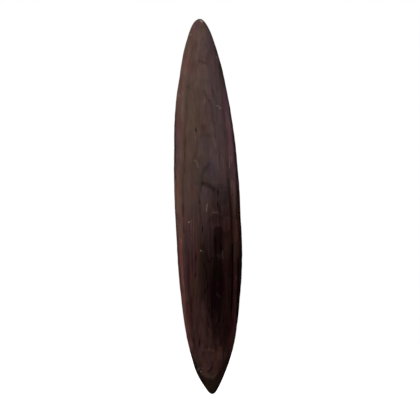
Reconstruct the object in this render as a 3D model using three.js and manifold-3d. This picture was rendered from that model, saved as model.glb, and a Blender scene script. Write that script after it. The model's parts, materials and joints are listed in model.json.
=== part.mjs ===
// A long leaf-shaped hand shield, carved from one plank of dark hardwood.
// A bent sapling handle stands in two sockets on its back, pinned by wooden pegs.
// Millimetres. Z runs along the length with the top tip up, and the carved front faces -Y.
// The origin is the middle of the handle's grip.
import * as THREE from 'three';
import { ParametricGeometry } from 'three/addons/geometries/ParametricGeometry.js';
import { mergeVertices } from 'three/addons/utils/BufferGeometryUtils.js';
import Module from 'manifold-3d';

const wasm = await Module();
wasm.setup();

// Sizes of the board
const boardLength = 900;
const leftHalfWidth = 75;
const rightHalfWidth = 83;
const boardThickness = 26;
const edgeThickness = 9;
const rimRadius = 6;
const noseLength = 7;
const tipSweep = 20;
const flatBackLength = 280;

// Sizes of the hollow under the knuckles
const hollowHalfWidth = 30;
const hollowHalfLength = 38;
const hollowDepth = 5;

// Sizes of the bosses and of the sockets in them
const bossHeight = 13;
const bossTopRadius = 16;
const bossFootRadius = 28;
const wallUnderSocket = 10;

// Sizes of the handle
const legSpacing = 136;
const fingerClearance = 33;
const legRadius = 10.5;
const gripHalfDepth = 10.5;
const gripHalfWidth = 12.5;
const tenonRadius = 8.5;

// Sizes of the pegs and the gum collars
const pegRadius = 3;
const pegStandOut = 3;
const collarHeight = 6;
const collarRadius = 14.5;

// Clearance between neighbours, and how far a cut or a join runs past its face
const fitGap = 0.3;
const overrun = 2;

// Half widths of the board as shares of its greatest ones, at equal steps of an angle
// that sweeps from the top tip to the bottom tip
const leftOutlineShares = [0, 0.257, 0.48, 0.696, 0.897, 0.975, 1, 0.966, 0.886, 0.742, 0.518, 0.219, 0];
const rightOutlineShares = [0, 0.199, 0.407, 0.619, 0.798, 0.93, 0.983, 1, 0.883, 0.705, 0.435, 0.183, 0];
// The rim's rounding never takes more than this share of a narrow tip's half width
const rimLimitShare = 0.6;
// How high the ball that cuts the hollow stands over the back, as a share of its own radius
const hollowRiseShare = 0.6;
// How high the pegs lie, as a share of the boss's height
const pegHeightShare = 0.5;
// The rounded part of a peg's end as a share of its radius
const pegDomeShare = 0.6;
// The flat lip at the top of a gum collar as a share of its wall
const collarLipShare = 0.3;

// Steps along and around the curved pieces
const boardSteps = 56;
const boardSides = 36;
const handleSteps = 42;
const roundSides = 20;
const bossSides = 32;
const bossSteps = 6;
const domeSteps = 2;

// Places worked out from the sizes
const crownHeight = boardThickness - edgeThickness;
const backY = -(fingerClearance + gripHalfDepth);
const bossTopY = backY + bossHeight;
const socketFloorY = backY - boardThickness + wallUnderSocket;
const pegY = backY + bossHeight * pegHeightShare;
const shoulderY = bossTopY + fitGap;
const bendRadius = -(shoulderY + collarHeight);
const legPlaces = { upper: legSpacing / 2, lower: -legSpacing / 2 };

// A closed solid from a three.js geometry
function solidOf(geometry) {
  geometry.deleteAttribute('normal');
  geometry.deleteAttribute('uv');
  const merged = mergeVertices(geometry);
  const triVerts = [];
  for (let i = 0; i < merged.index.count; i += 3) {
    const [a, b, c] = [0, 1, 2].map((corner) => merged.index.getX(i + corner));
    if (a !== b && b !== c && c !== a) {
      triVerts.push(a, b, c);
    }
  }
  return new wasm.Manifold(new wasm.Mesh({
    numProp: 3,
    vertProperties: new Float32Array(merged.attributes.position.array),
    triVerts: new Uint32Array(triVerts),
  }));
}

// A named piece with its material from a finished solid
function pieceOf(name, solid, material) {
  const result = solid.getMesh();
  const geometry = new THREE.BufferGeometry();
  geometry.setAttribute('position', new THREE.BufferAttribute(result.vertProperties, 3));
  geometry.setIndex(new THREE.BufferAttribute(result.triVerts, 1));
  geometry.computeVertexNormals();
  const piece = new THREE.Mesh(geometry, material);
  piece.name = name;
  return piece;
}

// A round bar between two heights on a leg's axis
function legBar(radius, fromY, toY, z) {
  const bar = new THREE.CylinderGeometry(radius, radius, toY - fromY, roundSides);
  bar.translate(0, (fromY + toY) / 2, z);
  return solidOf(bar);
}

// A smooth curve through the shares, mirrored past both ends so that the tips come out round
function smoothOutline(shares) {
  const mirrored = [-shares[1], ...shares, -shares.at(-2)];
  const curve = new THREE.SplineCurve(mirrored.map((share, i) => new THREE.Vector2(i, share)));
  const spans = mirrored.length - 1;
  return (sweep) => curve.getPoint((1 + sweep * (spans - 2)) / spans).y;
}

const leftOutline = smoothOutline(leftOutlineShares);
const rightOutline = smoothOutline(rightOutlineShares);

// How far the board's middle plane is swept back at a place along its length
function sweepBack(z) {
  const flatHalf = flatBackLength / 2;
  const beyond = Math.max(0, Math.abs(z) - flatHalf);
  return tipSweep * (beyond / (boardLength / 2 - flatHalf)) ** 2;
}

// A point of the board's skin: v runs from the top tip to the bottom tip, u round the section
function boardSkin(u, v, target) {
  const z = (boardLength / 2) * Math.cos(Math.PI * v);
  const across = Math.cos(2 * Math.PI * u);
  const left = leftOutline(v);
  const right = rightOutline(v);
  const halfWidth = across > 0 ? right * rightHalfWidth : left * leftHalfWidth;
  const x = halfWidth * across;

  const rim = Math.min(rimRadius, halfWidth * rimLimitShare);
  const intoRim = rim > 0 ? Math.max(0, (Math.abs(x) - halfWidth + rim) / rim) : 1;
  const intoNose = Math.max(0, (noseLength - boardLength / 2 + Math.abs(z)) / noseLength);
  const rounding = Math.sqrt(Math.max(0, (1 - intoRim ** 2) * (1 - intoNose ** 2)));

  const middleY = backY - edgeThickness / 2 + sweepBack(z);
  const halfEdge = (edgeThickness / 2) * rounding;
  const crown = crownHeight * ((left + right) / 2) * (1 - across ** 2);
  const onFront = u < 0.5;
  target.set(x, onFront ? middleY - halfEdge - crown : middleY + halfEdge, z);
}

// A low round hill with a flat top, rooted in the back of the board
function bossSolid(z) {
  const profile = [new THREE.Vector2(0, -overrun), new THREE.Vector2(bossFootRadius, -overrun)];
  for (let i = 0; i <= bossSteps; i += 1) {
    const climb = i / bossSteps;
    profile.push(new THREE.Vector2(
      THREE.MathUtils.lerp(bossFootRadius, bossTopRadius, climb),
      bossHeight * (1 - Math.cos(Math.PI * climb)) / 2,
    ));
  }
  profile.push(new THREE.Vector2(0, bossHeight));
  const boss = new THREE.LatheGeometry(profile, bossSides);
  boss.translate(0, backY, z);
  return solidOf(boss);
}

// The hole that a peg is driven through, across the boss and the tenon
function pegHole(z) {
  const radius = pegRadius + fitGap;
  const hole = new THREE.CylinderGeometry(radius, radius, 2 * bossFootRadius, roundSides);
  hole.rotateZ(Math.PI / 2);
  hole.translate(0, pegY, z);
  return solidOf(hole);
}

// The shallow dish that gives the knuckles room behind the grip
function hollowCutter() {
  const spread = Math.sqrt(1 - hollowRiseShare ** 2);
  const ballDepth = hollowDepth / (1 - hollowRiseShare);
  const ball = new THREE.SphereGeometry(1, bossSides, bossSides / 2);
  ball.scale(hollowHalfWidth / spread, ballDepth, hollowHalfLength / spread);
  ball.translate(0, backY + ballDepth * hollowRiseShare, 0);
  return solidOf(ball);
}

function boardSolid() {
  let board = solidOf(new ParametricGeometry(boardSkin, boardSides, boardSteps));
  for (const z of Object.values(legPlaces)) {
    board = board.add(bossSolid(z));
    board = board.subtract(legBar(tenonRadius + fitGap, socketFloorY, bossTopY + overrun, z));
    board = board.subtract(pegHole(z));
  }
  return board.subtract(hollowCutter());
}

// The sapling's middle line in the plane of its bend, as length along the board and height
function handleLine() {
  const line = new THREE.Path();
  line.moveTo(legPlaces.lower, shoulderY);
  line.lineTo(legPlaces.lower, -bendRadius);
  line.absarc(legPlaces.lower + bendRadius, -bendRadius, bendRadius, Math.PI, Math.PI / 2, true);
  line.absarc(legPlaces.upper - bendRadius, -bendRadius, bendRadius, Math.PI / 2, 0, true);
  line.lineTo(legPlaces.upper, shoulderY);
  return line;
}

// The bent bar swells into a broader grip in its middle, and its two ends are closed flat
function bentBar() {
  const line = handleLine();
  const rings = handleSteps - 2;
  return new ParametricGeometry((u, v, target) => {
    const ring = Math.round(v * handleSteps) - 1;
    const along = THREE.MathUtils.clamp(ring / rings, 0, 1);
    const isCap = ring < 0 || ring > rings;
    const middle = line.getPointAt(along);
    const tangent = line.getTangentAt(along);
    const swell = Math.sin(Math.PI * along) ** 2;
    const halfWidth = isCap ? 0 : THREE.MathUtils.lerp(legRadius, gripHalfWidth, swell);
    const halfDepth = isCap ? 0 : THREE.MathUtils.lerp(legRadius, gripHalfDepth, swell);
    const sideways = halfWidth * Math.cos(2 * Math.PI * u);
    const outward = halfDepth * Math.sin(2 * Math.PI * u);
    target.set(sideways, middle.y + outward * tangent.x, middle.x - outward * tangent.y);
  }, roundSides, handleSteps);
}

function handleSolid() {
  let handle = solidOf(bentBar());
  for (const z of Object.values(legPlaces)) {
    handle = handle.add(legBar(tenonRadius, socketFloorY + fitGap, shoulderY + overrun, z));
    handle = handle.subtract(pegHole(z));
  }
  return handle;
}

// A whittled peg with rounded ends that stand a little out of the boss on both sides
function pegSolid(z) {
  const bossRadius = THREE.MathUtils.lerp(bossFootRadius, bossTopRadius, pegHeightShare);
  const halfLength = bossRadius + pegStandOut;
  const dome = pegRadius * pegDomeShare;
  const profile = new THREE.Path();
  profile.moveTo(0, -halfLength);
  profile.absellipse(0, dome - halfLength, pegRadius, dome, -Math.PI / 2, 0, false, 0);
  profile.absellipse(0, halfLength - dome, pegRadius, dome, 0, Math.PI / 2, false, 0);
  const peg = new THREE.LatheGeometry(profile.getPoints(domeSteps), roundSides);
  peg.rotateZ(Math.PI / 2);
  peg.translate(0, pegY, z);
  return solidOf(peg);
}

// A bead of hardened gum in the corner between the leg and the top of the boss
function collarSolid(z) {
  const innerRadius = legRadius + fitGap;
  const lipRadius = THREE.MathUtils.lerp(innerRadius, collarRadius, collarLipShare);
  const profile = new THREE.Path();
  profile.moveTo(innerRadius, 0);
  profile.lineTo(collarRadius, 0);
  profile.absellipse(lipRadius, 0, collarRadius - lipRadius, collarHeight - fitGap, 0, Math.PI / 2, false, 0);
  profile.lineTo(innerRadius, collarHeight - fitGap);
  profile.lineTo(innerRadius, 0);
  const collar = new THREE.LatheGeometry(profile.getPoints(domeSteps), roundSides);
  collar.translate(0, shoulderY, z);
  return solidOf(collar);
}

function woodMaterial(color, roughness) {
  return new THREE.MeshStandardMaterial({ color, roughness, metalness: 0 });
}

const shield = new THREE.Group();
shield.add(pieceOf('shield_board', boardSolid(), woodMaterial(0x4a3430, 0.5)));
shield.add(pieceOf('handle', handleSolid(), woodMaterial(0x5c4030, 0.55)));
for (const [side, z] of Object.entries(legPlaces)) {
  const gum = new THREE.MeshStandardMaterial({ color: 0x1d1310, roughness: 0.35, metalness: 0 });
  shield.add(pieceOf(`${side}_peg`, pegSolid(z), woodMaterial(0x6b4c34, 0.65)));
  shield.add(pieceOf(`${side}_gum_collar`, collarSolid(z), gum));
}

export default shield;
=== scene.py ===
"""Dresses a long leaf-shaped hand shield: old dark hardwood, a bent sapling handle, whittled pegs and gum."""
import json
import math

import bpy
import numpy as np
from mathutils import Matrix, Vector


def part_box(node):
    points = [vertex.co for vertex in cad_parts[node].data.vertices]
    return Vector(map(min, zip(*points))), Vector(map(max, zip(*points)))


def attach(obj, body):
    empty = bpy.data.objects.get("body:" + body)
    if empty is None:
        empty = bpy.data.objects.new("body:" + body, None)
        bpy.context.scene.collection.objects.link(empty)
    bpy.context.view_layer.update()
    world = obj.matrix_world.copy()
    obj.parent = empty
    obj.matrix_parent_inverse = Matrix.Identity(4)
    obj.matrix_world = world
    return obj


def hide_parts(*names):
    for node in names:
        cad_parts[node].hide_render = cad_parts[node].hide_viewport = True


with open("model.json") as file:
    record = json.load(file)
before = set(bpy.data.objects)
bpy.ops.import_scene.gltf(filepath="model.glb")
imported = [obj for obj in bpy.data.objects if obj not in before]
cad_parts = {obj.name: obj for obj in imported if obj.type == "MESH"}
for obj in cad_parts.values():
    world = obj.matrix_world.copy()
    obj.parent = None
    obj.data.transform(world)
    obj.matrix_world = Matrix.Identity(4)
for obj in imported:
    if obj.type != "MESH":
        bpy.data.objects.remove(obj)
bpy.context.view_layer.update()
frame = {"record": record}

# Places that the frame gives, in metres
board_low, board_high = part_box("shield_board")
handle_low, handle_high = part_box("handle")
peg_boxes = {side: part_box(f"{side}_peg") for side in ("upper", "lower")}
collar_boxes = {side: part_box(f"{side}_gum_collar") for side in ("upper", "lower")}
mount_places = {mount["name"]: mount["pos_m"] for mount in frame["record"]["mounts"]}

HALF_LENGTH = board_high.z
LEFT_HALF_WIDTH = -board_low.x
RIGHT_HALF_WIDTH = board_high.x
FRONT_Y = board_low.y
BACK_Y = mount_places["back_rest_upper"][1]
LEG_PLACES = {side: (low.z + high.z) / 2 for side, (low, high) in peg_boxes.items()}
PEG_Y = sum(corner.y for corner in peg_boxes["upper"]) / 2
PEG_RADIUS = (peg_boxes["upper"][1].y - peg_boxes["upper"][0].y) / 2
PEG_HALF_LENGTH = peg_boxes["upper"][1].x
BOSS_HEIGHT = 2 * (PEG_Y - BACK_Y)
SHOULDER_Y = collar_boxes["upper"][0].y
COLLAR_TOP_Y = collar_boxes["upper"][1].y
COLLAR_RADIUS = collar_boxes["upper"][1].x
LEG_RADIUS = handle_high.z - LEG_PLACES["upper"]
GRIP_HALF_WIDTH = handle_high.x
GRIP_HALF_DEPTH = handle_high.y
TENON_END_Y = handle_low.y

# Sizes of the carving, in metres
EDGE_THICKNESS = 0.009
RIM_RADIUS = 0.006
NOSE_LENGTH = 0.007
TIP_SWEEP = 0.020
FLAT_BACK_LENGTH = 0.280
BOSS_TOP_RADIUS = 0.016
BOSS_FOOT_RADIUS = 0.028
TENON_RADIUS = 0.0085
FIT_GAP = 0.0003
GUM_SEAT = 0.0002
HOLLOW_HALF_WIDTH = 0.030
HOLLOW_HALF_LENGTH = 0.038
HOLLOW_DEPTH = 0.005

# Depths and heights of the tool marks, the wear and the wood's own unevenness, in metres
CRACK_DEPTH = 0.0007
SCRATCH_DEPTH = 0.0003
FRONT_WAVES = 0.0005
FRONT_CUTS = 0.00035
ADZE_CUTS = 0.0040
BACK_WAVES = 0.0006
BOSS_CUTS = 0.0014
EDGE_WAVES = 0.0005
EDGE_RIPPLES = 0.0003
EDGE_WEAR = 0.0006
EVEN_TIP_LENGTH = 0.05
SAPLING_WAVES = 0.0005
KNOT_RISE = 0.0012
BARK_THICKNESS = 0.0005
BARK_FOLDS = 0.00012

# Shares and counts of the carving
HOLLOW_RISE_SHARE = 0.6
RIM_LIMIT_SHARE = 0.6
MIDDLE_DENSITY = 0.4
CUT_REACH = 0.42
WHITTLED_FACES = 8
PEG_TAPER_START = 0.93
SHARP_ANGLE = math.radians(50)
FACE_CUT_SHARE = 0.925
FACE_CUT_SWAY = 0.045
CRACK_HALF_WIDTH_PIXELS = 0.6
LAYER_EDGE_PIXELS = 0.9
DARKEST_FIGURE = 0.04
LATTICE_SIZE = 64

# Where soft patches and swells begin to fade and where they end, in their own half sizes
PATCH_FADE = (0.5, 1.4)
SWELL_FADE = (0.2, 1.4)

# Half widths as shares of the greatest ones, at equal steps of an angle from the top tip to the bottom tip
LEFT_OUTLINE_SHARES = (0, 0.257, 0.48, 0.696, 0.897, 0.975, 1, 0.966, 0.886, 0.742, 0.518, 0.219, 0)
RIGHT_OUTLINE_SHARES = (0, 0.199, 0.407, 0.619, 0.798, 0.93, 0.983, 1, 0.883, 0.705, 0.435, 0.183, 0)

# Swells of the carved edge over that curve: column and row in the photograph, half length there, and metres
LEFT_SWELLS = (
    (183, 56, 14, 0.0009), (175, 138, 12, -0.0007), (175, 167, 10, 0.0005), (177, 222, 20, -0.0005),
    (180, 272, 24, 0.0004), (188, 335, 16, 0.0005), (199, 372, 16, 0.0008),
)
RIGHT_SWELLS = (
    (209, 32, 10, 0.0006), (234, 143, 18, 0.0008), (238, 188, 14, 0.0008), (241, 250, 30, -0.0010),
    (230, 358, 12, 0.0009),
)

# The tips in the photograph, in its 420 by 420 pixels, and the camera that puts them there
IMAGE_SIZE = 420
TOP_TIP_PIXEL = Vector((199.7, 18.8))
BOTTOM_TIP_PIXEL = Vector((212.4, 394.0))
PIXEL_LENGTH = (BOTTOM_TIP_PIXEL - TOP_TIP_PIXEL).length
METRES_PER_PIXEL = 2 * HALF_LENGTH / PIXEL_LENGTH
LENS = 100
SENSOR_WIDTH = 36
CAMERA_DISTANCE = METRES_PER_PIXEL * IMAGE_SIZE * LENS / SENSOR_WIDTH
TIP_Y = BACK_Y + TIP_SWEEP - EDGE_THICKNESS / 2

# Stage: sizes in metres, and each softbox's place, aim, width, height and power in watts
FLOOR_HALF_WIDTH = 0.8
FLOOR_COLOUR = (0.4, 0.4, 0.4, 1)
FLOOR_GLOW = 0.95
ROOM_COLOUR = (0.18, 0.18, 0.19, 1)
WHITE = (1, 1, 1, 1)
SOFTBOXES = {
    "key": ((-1.1, -2.1, 1.4), (0, 0, 0.1), 1.6, 1.2, 85),
    "fill": ((1.6, -1.6, 0.8), (0, 0, 0), 1.2, 1.2, 8),
    "back_light": ((-1.6, 1.5, 1.6), (0, 0, 0), 1.2, 1.0, 66),
}


def on_tip_plane(column, row):
    """Where a pixel of the photograph lies on the upright plane through both tips, as x and z in metres."""
    down = (BOTTOM_TIP_PIXEL - TOP_TIP_PIXEL).normalized()
    offset = Vector((column, row)) - TOP_TIP_PIXEL
    across = offset.x * down.y - offset.y * down.x
    return Vector((across * METRES_PER_PIXEL, HALF_LENGTH - offset.dot(down) * METRES_PER_PIXEL))


def from_photo(column, row):
    """Where a pixel of the photograph lies on the board's front, which bows out towards the camera."""
    seen = on_tip_plane(column, row)
    image_middle = on_tip_plane(IMAGE_SIZE / 2, IMAGE_SIZE / 2)
    nearer = (TIP_Y - FRONT_Y) / CAMERA_DISTANCE * (1 - (seen.y / HALF_LENGTH) ** 4)
    return tuple(seen + (image_middle - seen) * nearer)


# The figure of the front's wood and its marks, in pixels of the photograph, each table from the top down

# Soft patches: column, row, half width, half length, and how dark each is. Below zero is how much lighter
TONE_PATCHES = (
    (196, 29, 4, 6, -0.08), (206, 30, 2.5, 5, -0.14), (190, 32, 4, 10, 0.12), (189, 38, 3, 7, 0.08),
    (206, 43, 4, 9, -0.06), (203, 44, 4, 14, -0.13), (211, 48, 3, 10, 0.06), (215.5, 56, 2, 12, 0.14),
    # The patch at column 222, row 76 is painted shade on the right side, where the face curves away from the
    # light
    (220, 62, 1.5, 16, 0.25), (205, 70, 3, 7, -0.06), (197, 76, 5, 14, -0.1), (222, 76, 3, 18, 0.3),
    (218, 85, 2.5, 8, 0.12), (203.8, 127.5, 3, 3.2, 0.22), (207, 133, 5, 3, 0.1), (219, 138, 5, 13, 0.07),
    (184, 142, 2, 14, 0.06), (205, 144, 8, 8, 0.04), (204, 158, 5, 8, 0.06), (229, 158, 5, 30, 0.06),
    (201, 160, 3, 6, 0.14), (221.5, 160, 4.5, 8, 0.14), (193, 164, 4, 8, 0.1), (212, 171, 6, 12, 0.1),
    (201, 172, 5, 14, 0.12), (189.5, 176, 3, 14, 0.05), (198, 180, 5, 6, 0.13), (231, 180, 2, 8, -0.12),
    (204.5, 181, 3.5, 4, 0.24), (222, 181, 5, 5, 0.1), (206, 184.5, 6, 2.8, 0.26),
    (216, 186.5, 9, 3, 0.14), (220, 189, 9, 5, 0.16), (197, 190, 7, 34, 0.04), (193, 205, 7, 9, 0.04),
    (200.5, 208, 2.5, 9, 0.14), (192, 233, 6, 12, -0.06), (188, 240, 2, 10, -0.2),
    (196, 240, 1.3, 9, 0.15), (234, 246, 6, 14, -0.2), (203.2, 247, 1, 5, 0.4), (205, 256, 2.4, 7, 0.22),
    (205, 262, 5, 24, 0.2), (203.8, 271, 2.4, 15, 0.3), (185.5, 277, 3.6, 20, -0.32),
    (204, 290, 2.4, 16, 0.22), (214.5, 290, 9, 34, 0.62), (226, 292, 6, 36, 0.34),
    (239.6, 292, 1.6, 6, 0.24), (230, 318, 4, 14, 0.22), (216, 328, 7, 10, 0.3),
    (188.6, 331, 1.6, 9, 0.24), (225, 334, 4, 13, 0.24), (197, 340, 2, 12, -0.14),
    (193, 345, 1.6, 10, 0.36), (204, 346, 2, 5, 0.18), (228, 346, 2, 6, 0.24), (229, 358, 3, 7, 0.34),
    (209, 364, 7, 9, -0.1), (200.4, 366, 2, 5, 0.34), (199, 379, 4, 9, 0.3), (211, 391, 4, 4, 0.14),
)

# Ring layers that the carved face cuts: how dark, or below zero how much lighter, then the corners of each
LAYERS = (
    (-0.1, (196.6, 70), (198, 64.5), (201, 62.8), (204, 63.6), (206.6, 68), (208.4, 74), (208.6, 80),
     (198, 78)),
    (0.3, (211.8, 188.6), (214.6, 188), (220, 190.6), (228.6, 190), (228.8, 200), (226, 204.4),
     (221.4, 205), (220.6, 212.6), (217.4, 213), (214.4, 209), (211.8, 207.8), (211.2, 198)),
    (0.62, (213.3, 229.6), (215, 226.8), (220.4, 226.3), (222.3, 228.6), (221.8, 240), (222.9, 249.5),
     (220.6, 254.4), (216.6, 253.8), (214.8, 257.6), (213.6, 250), (213.2, 240)),
    (0.3, (213.8, 237), (216.6, 235), (217.6, 242), (217.2, 252), (214.8, 257), (213.6, 249)),
    (-0.66, (222.8, 219.4), (224.4, 217.4), (229.4, 216.4), (230.5, 219.5), (230.2, 229.6), (228, 232.4),
     (223.8, 231.8), (222.5, 229)),
    (0.58, (213.2, 260.4), (216, 258.8), (219.6, 260.2), (221.6, 264), (223.4, 272), (224.2, 281),
     (218, 281.4), (211.6, 283), (211.8, 275), (212.8, 267)),
    (0.6, (210.8, 283), (213.5, 281), (216.4, 283.5), (217, 290), (216.6, 309), (211.8, 309),
     (210.4, 297)),
    (0.5, (218.6, 282), (223.6, 281), (224, 288), (222.6, 293), (219.6, 296), (218.4, 290)),
    (0.25, (211, 308.6), (217.4, 307.6), (217.8, 318), (214, 321), (210.6, 322), (209.8, 314)),
    (-0.25, (220.8, 299), (229.6, 298), (229.8, 314), (226, 316), (221.4, 312.5)),
    (0.19, (208.4, 325.6), (213, 328), (218, 327.4), (222.6, 325), (229.6, 327), (229, 339),
     (224.6, 345.6), (221, 343.4), (217, 339.4), (212.4, 336.6), (212.2, 331)),
    (-0.1, (203.6, 327), (208.6, 327.2), (211.8, 332), (211.9, 338), (214, 345), (208, 349),
     (203.8, 346)),
    (-0.6, (201, 343.8), (203.9, 343.4), (204.1, 350.6), (202.6, 352), (200.8, 351)),
    (-0.7, (204, 349), (213.8, 348.6), (213.8, 351.2), (206.4, 351.4)),
    (-0.6, (217.2, 346.6), (221.2, 346.8), (221.9, 350), (221.9, 360), (219.9, 360), (219.6, 352),
     (217.2, 351)),
    (0.3, (214, 343.5), (217.2, 343.5), (217.2, 351), (214, 351)),
    (-0.75, (217, 352), (219.5, 351.6), (219.7, 358.6), (218.2, 360), (216.9, 359)),
    (-0.06, (204.2, 354), (211, 351.6), (217, 352.6), (219.6, 358), (219.4, 369), (216.4, 374),
     (207, 373.6), (203.8, 370), (203.4, 362)),
)

# Crisp bands along the fibres: how dark, or below zero how much lighter, then the half width and the points
BANDS = (
    (-0.17, 1.5, (198.3, 32), (198, 46), (196.9, 57)),
    (-0.12, 1.6, (185.2, 62), (184, 78), (182.8, 96)),
    (-0.16, 2.2, (228.6, 96), (230.4, 130), (232, 165), (233.4, 182)),
    (-0.34, 0.8, (226.3, 110), (226.8, 126)),
    (-0.1, 1.4, (182.6, 112), (182.2, 165)),
    (-0.16, 1.8, (228.6, 118), (230, 150)),
    (-0.2, 0.9, (178.2, 177), (178.2, 202)),
    (0.5, 0.9, (228, 180), (229.4, 190), (229.8, 198), (231, 207)),
    (-0.95, 2, (233, 185), (233.2, 195)),
    (-1.2, 1.6, (234, 199), (234.3, 218)),
    (0.4, 0.9, (231.2, 208), (231.4, 225), (232, 241)),
    (0.26, 4.4, (214.5, 219), (218, 220)),
    (-1.45, 2.3, (235.2, 222), (236, 240)),
    (-0.16, 2, (179.4, 224), (180.4, 240)),
    (0.22, 1, (224, 234), (224, 248)),
    (-0.42, 1.8, (226.8, 236), (226.6, 258)),
    (0.5, 1, (215.2, 237), (215.2, 244)),
    (-0.31, 2.2, (180.8, 240), (182, 256), (183, 272)),
    (-0.25, 0.8, (188.2, 243), (188.5, 251)),
    (-0.72, 2, (235.8, 243), (235.8, 270), (235.7, 288)),
    (1, 1.1, (232.3, 244), (232.4, 285), (231.6, 312)),
    (0.34, 2, (201.8, 245), (202.6, 262), (203, 298)),
    (0.55, 1.2, (221, 247), (221, 253)),
    (0.4, 1.3, (229.6, 255), (229.8, 276)),
    (0.95, 1, (238.3, 262), (238.1, 290), (237.3, 318)),
    (-0.34, 1.7, (183.6, 264), (185.2, 284), (187, 300)),
    (0.2, 1, (188, 264), (188.6, 298)),
    (0.42, 1.2, (191.2, 298), (191.6, 314)),
    (0.52, 1.8, (219.6, 298), (219.4, 322)),
    (-0.24, 1.2, (187.4, 300), (188.4, 318)),
    (0.42, 1.5, (211.8, 304), (211.4, 318)),
    (0.34, 1, (193.8, 328), (194.2, 342)),
    (0.26, 2.2, (223.4, 336), (225, 352)),
)

# Soft lines: how dark, or below zero how much lighter, then the half width and the points on each
FIGURE_LINES = (
    (0.25, 1.2, (201.5, 26.4), (204.5, 26.8)),
    (0.4, 1.1, (213.6, 42), (217.6, 56), (221.2, 70), (224.6, 86)),
    (-0.18, 1.2, (188, 48), (184.8, 75), (182.6, 100), (181.4, 120), (180.8, 150), (180.5, 170)),
    (0.12, 1.6, (191, 52), (189.5, 72), (189, 88)),
    (0.6, 0.8, (198.3, 60.2), (201, 61), (204, 62.6), (208.5, 62.9)),
    (0.2, 0.9, (210, 76), (212, 90), (215.5, 99), (218, 120)),
    (0.3, 0.9, (187.5, 86), (186.5, 110), (185, 135), (184.5, 155), (183, 180), (183, 215)),
    (0.18, 0.9, (212.4, 89), (215.4, 100)),
    (0.5, 0.9, (203, 91.5), (206, 96), (210, 100.5), (211.6, 106)),
    (0.26, 1.2, (222, 96), (223.2, 112), (225.4, 138), (226.2, 158), (227.8, 178)),
    (0.6, 0.9, (228.8, 98), (232.6, 130), (235.4, 160), (237.6, 190), (239.4, 215), (240.3, 242)),
    (0.8, 1.1, (175.7, 108), (174.7, 140), (174.7, 160), (174.9, 178)),
    (0.16, 0.9, (213, 112), (213.8, 124)),
    (-0.12, 0.9, (212, 122), (213, 135)),
    (0.42, 0.9, (214.3, 123), (214.9, 136)),
    (0.5, 1.2, (233.4, 134), (234.9, 150), (236, 162)),
    (0.22, 1.8, (199.5, 136.4), (203, 134.6), (207, 134.2), (210.5, 135.4), (212.6, 138.6)),
    (0.24, 1, (197.5, 140), (196.5, 150), (195, 157)),
    (0.42, 2.3, (208, 164.5), (204.8, 167), (203.4, 172), (201.6, 177)),
    (-0.16, 1, (177.6, 172), (178, 190), (178.5, 212)),
    (0.42, 1.9, (203, 183.4), (207, 183.6), (210, 186), (214, 188.5)),
    (0.24, 0.8, (196.8, 188), (196.6, 205), (197, 222)),
    (0.16, 1.2, (214, 188.5), (219, 188), (228, 187.5)),
    (-0.14, 0.8, (177.4, 190), (178.4, 222)),
    (0.2, 0.6, (178.5, 190), (179.4, 223)),
    (0.42, 1.2, (182.6, 203), (183.4, 218), (183.8, 232)),
    (0.6, 1.3, (199.6, 203), (199.6, 194), (200.8, 188.5), (203.5, 184)),
    (0.22, 0.7, (191, 205), (191.6, 228), (192.5, 250)),
    (0.3, 1.2, (219, 206), (219.6, 213)),
    (0.44, 0.9, (200.4, 208), (200.9, 224)),
    (0.5, 0.9, (176.2, 214), (177.6, 236), (179.2, 262), (181.2, 290)),
    (-0.16, 1.1, (186.5, 216), (186.7, 229)),
    (0.34, 1.2, (209.5, 221), (213, 216.5), (218, 215), (221.5, 219)),
    (0.22, 0.9, (200.6, 226), (200.6, 247)),
    (0.24, 0.7, (186.2, 230), (186.4, 237)),
    (1, 1.1, (240.9, 246), (241, 262), (240.4, 280), (238.6, 298), (237.4, 313)),
    (0.6, 1, (208.5, 262), (212, 258.5), (216, 257.5), (220, 260), (222.5, 266)),
    (0.3, 0.8, (204.8, 300), (206, 314), (208.5, 325)),
    (0.5, 1.4, (211, 321), (214.5, 327), (217, 326.5), (219, 321)),
    (0.3, 0.8, (224, 340), (224.5, 352), (223, 364)),
    (-0.24, 1, (220.2, 347.4), (220.6, 353), (220.8, 360)),
    (-0.26, 1, (204.8, 350), (209, 349.4), (213.6, 349.6)),
    (0.4, 1.4, (191.4, 352), (194.4, 362), (198.8, 373), (204.5, 383)),
    (-0.22, 1, (217.8, 352.5), (218.2, 361)),
    (0.45, 1.2, (228.6, 364), (224.6, 373), (219.6, 383), (216.4, 389)),
    (0.8, 1.1, (207.5, 371.6), (211, 369.4), (212.8, 366), (212.8, 362.5)),
    (0.3, 1, (207.5, 372), (211, 373.4), (214.5, 373)),
    (-0.3, 1.3, (203, 374), (207, 375.5), (213, 376.5), (216, 374)),
)

# The dark lower tip: how dark it is, where it fades, in metres from its upper border, and that border
DARK_TIP_SHARE = 0.60
DARK_TIP_FADE = (-0.004, 0.005)
DARK_TIP_BORDER = ((196, 362), (200, 374), (206, 377.5), (214, 379), (217.5, 374), (226, 358))

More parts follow.
